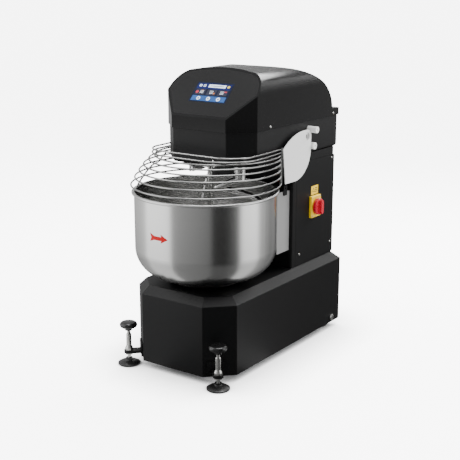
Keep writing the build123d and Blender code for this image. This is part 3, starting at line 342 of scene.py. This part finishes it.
screen_shapes("screen_top_bar", "navy", [(bar(BAR_WIDE, 0.024, 0.001), 0, 0.0255)], FIRST_LAYER)
screen_shapes("screen_low_bar", "blue", [(bar(BAR_WIDE, 0.022, 0.001), 0, BUTTON_UP)], FIRST_LAYER)
screen_shapes("screen_title", "white", [
    (bar(0.072, 0.013, 0.0012), TITLE_X, TITLE_UP),
    (bar(SIGN, SIGN, 0.002), SQUARE_SIGN_X, TITLE_UP),
    (bar(SIGN, SIGN, 0.002), BARS_SIGN_X, TITLE_UP)], SECOND_LAYER)
screen_shapes("screen_title_lines", "navy", [
    (bar(0.056, 0.0022, 0.001), TITLE_X, TITLE_UP),
    (bar(SIGN / 2, SIGN / 2, 0.001), SQUARE_SIGN_X, TITLE_UP),
    (bar(0.0022, 0.006, 0.001), BARS_SIGN_X - 0.002, TITLE_UP),
    (bar(0.0022, 0.006, 0.001), BARS_SIGN_X + 0.002, TITLE_UP)], THIRD_LAYER)
screen_shapes("screen_corner_sign", "yellow", [(disc(0.0052), 0.060, TITLE_UP)], SECOND_LAYER)
screen_shapes("screen_buttons", "white", [(disc(0.0078), x, BUTTON_UP) for x in BUTTONS_X], SECOND_LAYER)
stop_mark = bar(0.0060, 0.0060, 0.0006)
play_mark = [(-0.0030, -0.0036), (0.0042, 0), (-0.0030, 0.0036)]
screen_shapes("screen_button_marks", "blue", [
    (mark, x, BUTTON_UP) for mark, x in zip((stop_mark, play_mark, disc(0.0034)), BUTTONS_X)], THIRD_LAYER)
screen_shapes("screen_tiles", "grey", [(bar(0.040, 0.024, 0.002), x, 0.0) for x in TILES_X], FIRST_LAYER)
screen_shapes("screen_tile_marks", "rose", [
    (disc(0.0060), -0.060, -0.001), (bar(0.012, 0.0050, 0.001), 0.057, 0.005)], SECOND_LAYER)
screen_shapes("screen_tile_signs", "amber", [
    (disc(0.0032), 0.012, -0.004), (disc(0.0028), -0.040, 0.006)], SECOND_LAYER)
screen_shapes("screen_tile_lines", "white", [
    (bar(0.015, 0.0016, 0.0006), x, y)
    for x in (-0.041, 0.0, 0.044) for y in (-0.0045, 0.0005, 0.0055)], SECOND_LAYER)

# ---------------------------------------------------------------- small trim on the right side
SIGN_THICK = 0.0001
TRIANGLE_R = 0.0115
TRIANGLE_INSIDE = 0.66          # share of the triangle that its yellow middle takes
TRIANGLE_X = -0.010
TRIANGLE_Y = -0.001
LABEL_ROWS = (-0.007, 0.0, 0.007)

label_middle = middle_of("switch_label")
label_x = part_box("switch_label")[1][0] + CLEARANCE
dark_ink = finish_of("dark_ink", (0.012, 0.012, 0.012), 0.45, grain=200, bump=0.02)


def label_sign(name, shapes, lift, look):
    place = facing_x(label_x + lift, label_middle.y, label_middle.z)
    return piece_of(name, plates_mesh(name, place, shapes, SIGN_THICK), look, ROOT_BODY)


corners = [math.radians(degrees) for degrees in (90, 210, 330)]
triangle = [(TRIANGLE_R * math.cos(turn), TRIANGLE_R * math.sin(turn)) for turn in corners]
triangle_inner = [(x * TRIANGLE_INSIDE, y * TRIANGLE_INSIDE) for x, y in triangle]
label_bar = rounded_outline(0.019, 0.0028, 0.001)
label_sign("label_triangle", [(triangle, TRIANGLE_X, TRIANGLE_Y)], 0.0, dark_ink)
label_sign("label_triangle_middle", [(triangle_inner, TRIANGLE_X, TRIANGLE_Y)], SIGN_THICK,
           LOOKS["yellow_plastic"])
label_sign("label_bars", [(label_bar, 0.011, z) for z in LABEL_ROWS], 0.0, dark_ink)

SWITCH_PLATE_PROUD = 0.0105     # how far the flat of the switch plate stands out of the side panel
PLATE_SCREW_R = 0.0028
PLATE_SCREW_HIGH = 0.0012
switch_middle = middle_of("main_switch_plate")
plate_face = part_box("side_panel_right")[1][0] + SWITCH_PLATE_PROUD
corner_spots = [facing_x(plate_face, switch_middle.y + y, switch_middle.z + z)
                for y in (-0.028, 0.028) for z in (-0.035, 0.035)]
piece_of("switch_plate_screws",
         screw_mesh("switch_plate_screws", corner_spots, PLATE_SCREW_R, PLATE_SCREW_HIGH),
         LOOKS["zinc"], ROOT_BODY)

# ---------------------------------------------------------------- floor
WHITE_LIFT = 6.0                # glow of the floor where the camera sees it directly
FLOOR_HALF = 60.0
SHADOW_REACH = 0.22
SHADOW_POWER = 2.2

floor_mesh = bpy.data.meshes.new("floor")
floor_mesh.from_pydata(
    [(-FLOOR_HALF, -FLOOR_HALF, 0), (FLOOR_HALF, -FLOOR_HALF, 0), (FLOOR_HALF, FLOOR_HALF, 0),
     (-FLOOR_HALF, FLOOR_HALF, 0)], [], [(0, 1, 2, 3)])
floor = bpy.data.objects.new("floor", floor_mesh)
bpy.context.scene.collection.objects.link(floor)
paper = finish_of("floor_paper", (0.62, 0.62, 0.62), 0.9, grain=2, contrast=0.01, rough_spread=0.03, bump=0.0)
paper_tree = paper.node_tree
seen_direct = paper_tree.nodes.new("ShaderNodeLightPath")
lift = math_node(paper_tree, "MULTIPLY", seen_direct.outputs["Is Camera Ray"], WHITE_LIFT)

# The white of the floor fades close to the object, which leaves a soft contact shadow.
nearness = paper_tree.nodes.new("ShaderNodeAmbientOcclusion")
nearness.samples = 16
nearness.inputs["Distance"].default_value = SHADOW_REACH
fade = math_node(paper_tree, "POWER", nearness.outputs["AO"], SHADOW_POWER)
paper_shader = paper_tree.nodes["Principled BSDF"]
paper_shader.inputs["Emission Color"].default_value = (1, 1, 1, 1)
paper_tree.links.new(math_node(paper_tree, "MULTIPLY", lift, fade), paper_shader.inputs["Emission Strength"])
floor.data.materials.append(paper)
floor.visible_glossy = False

# ---------------------------------------------------------------- camera and lights
CAMERA_LENS = 75.58
CAMERA_SENSOR = 36.0
CAMERA_PLACE = (1.9691, -2.8192, 1.3394)
CAMERA_DOWN = 14.55             # degrees below level
CAMERA_ROUND = 35.137           # degrees from the front towards the object's right side
LOW_AIM = (0, 0, 0.4)

camera_data = bpy.data.cameras.new("camera")
camera_data.lens = CAMERA_LENS
camera_data.sensor_width = CAMERA_SENSOR
camera = bpy.data.objects.new("camera", camera_data)
camera.location = CAMERA_PLACE
camera.rotation_euler = (math.radians(90 - CAMERA_DOWN), 0, math.radians(CAMERA_ROUND))
bpy.context.scene.collection.objects.link(camera)
bpy.context.scene.camera = camera


def soft_light(name, place, aim, wide, high, watts):
    data = bpy.data.lights.new(name, "AREA")
    data.shape = "RECTANGLE"
    data.size = wide
    data.size_y = high
    data.energy = watts
    lamp = bpy.data.objects.new(name, data)
    lamp.location = place
    lamp.rotation_euler = (Vector(aim) - Vector(place)).to_track_quat("-Z", "Y").to_euler()
    bpy.context.scene.collection.objects.link(lamp)


soft_light("key_left", (-2.15, -1.45, 2.15), LOW_AIM, 1.7, 1.2, 105)
soft_light("overhead", (0.2, 0.3, 3.6), LOW_AIM, 3.0, 2.4, 130)
soft_light("right_strip", (3.2, 1.6, 1.5), LOW_AIM, 0.7, 2.2, 40)
soft_light("back_top", (1.0, 2.4, 2.0), (0.25, -0.2, 0.3), 1.5, 1.1, 140)
soft_light("back_high", (-0.6, 2.6, 2.6), (0, 0, 1.0), 2.4, 1.0, 150)

# ---------------------------------------------------------------- panels round the bowl
# Only glossy surfaces see them. Compass degrees from the front, anticlockwise from above, and brightness.
PANELS = ((-180, 0.30), (-150, 0.35), (-110, 0.50), (-80, 0.75), (-66, 0.95), (-60, 1.90), (-17, 1.80),
          (-13, 0.40), (20, 0.28), (43, 0.20), (46, 0.03), (64, 0.02), (70, 0.05), (85, 0.16), (90, 1.60),
          (117, 1.70), (122, 0.60), (150, 0.22), (180, 0.30))
PANEL_R = 1.1
PANEL_LOW = 0.004
PANEL_TOP = 1.6
PANEL_STEPS = 180
PANEL_GLOW = 2.6
FLOOR_SHARE = 0.55              # brightness on the floor, as a share of the brightness above FULL_HEIGHT
FULL_HEIGHT = 0.35
# Height above the floor, and how far the panels fade there to one even grey.
EVEN_HEIGHTS = ((0.0, 0.30), (0.04, 0.0), (0.58, 0.0), (0.72, 0.7), (1.05, 0.6), (1.3, 0.0))
EVEN_LEVEL = 0.55


def grey(level):
    """Levels reach up to 2, so they are halved to fit a ramp's colours."""
    return (level / 2, level / 2, level / 2)


def panels_mesh():
    """A cylinder wall with a floor, open at its top."""
    points = []
    for z in (PANEL_LOW, PANEL_TOP):
        for i in range(PANEL_STEPS):
            turn = 2 * math.pi * i / PANEL_STEPS
            points.append((PANEL_R * math.cos(turn), PANEL_R * math.sin(turn), z))
    faces = [(i, (i + 1) % PANEL_STEPS, PANEL_STEPS + (i + 1) % PANEL_STEPS, PANEL_STEPS + i)
             for i in range(PANEL_STEPS)]
    faces += [(i, (i + 1) % PANEL_STEPS, len(points)) for i in range(PANEL_STEPS)]
    points.append((0, 0, PANEL_LOW))
    mesh = bpy.data.meshes.new("panels")
    mesh.from_pydata(points, [], faces)
    return mesh


def panels_material():
    material, tree, _ = new_material("panel_light")
    place = tree.nodes.new("ShaderNodeTexCoord")
    parts = tree.nodes.new("ShaderNodeSeparateXYZ")
    tree.links.new(place.outputs["Object"], parts.inputs["Vector"])
    front = math_node(tree, "MULTIPLY", parts.outputs["Y"], -1.0)
    compass = math_node(tree, "ARCTAN2", parts.outputs["X"], front)
    turn_share = range_node(tree, compass, -math.pi, math.pi, 0.0, 1.0)
    walls = ramp_node(tree, turn_share, [((degrees + 180) / 360, grey(level)) for degrees, level in PANELS])
    height = range_node(tree, parts.outputs["Z"], 0.0, PANEL_TOP, 0.0, 1.0)
    evenness = ramp_node(tree, height, [(z / PANEL_TOP, (share, share, share)) for z, share in EVEN_HEIGHTS])
    evened = mix_node(tree, evenness, walls, (*grey(EVEN_LEVEL), 1))
    strength = range_node(tree, parts.outputs["Z"], 0.0, FULL_HEIGHT, PANEL_GLOW * FLOOR_SHARE, PANEL_GLOW)
    emission = tree.nodes.new("ShaderNodeEmission")
    tree.links.new(strength, emission.inputs["Strength"])
    tree.links.new(evened, emission.inputs["Color"])
    tree.links.new(emission.outputs["Emission"], tree.nodes["Material Output"].inputs["Surface"])
    return material


panel_middle = middle_of("bowl")
panels = bpy.data.objects.new("panels", panels_mesh())
panels.location = (panel_middle.x, panel_middle.y, 0)
panels.data.materials.append(panels_material())
bpy.context.scene.collection.objects.link(panels)
panels.visible_camera = False
panels.visible_diffuse = False
panels.visible_shadow = False
panels.visible_transmission = False

# ---------------------------------------------------------------- world
# A pale room: one even grey light, and white where it is seen directly.
ROOM_GREY = (0.30, 0.30, 0.305, 1)
ROOM_WHITE = (1.95, 1.95, 1.95, 1)
ROOM_STRENGTH = 3.6

world = bpy.data.worlds.new("studio")
world.use_nodes = True
world_tree = world.node_tree
seen = world_tree.nodes.new("ShaderNodeLightPath")
room = mix_node(world_tree, seen.outputs["Is Camera Ray"], ROOM_GREY, ROOM_WHITE)
world_tree.links.new(room, world_tree.nodes["Background"].inputs["Color"])
world_tree.nodes["Background"].inputs["Strength"].default_value = ROOM_STRENGTH
bpy.context.scene.world = world
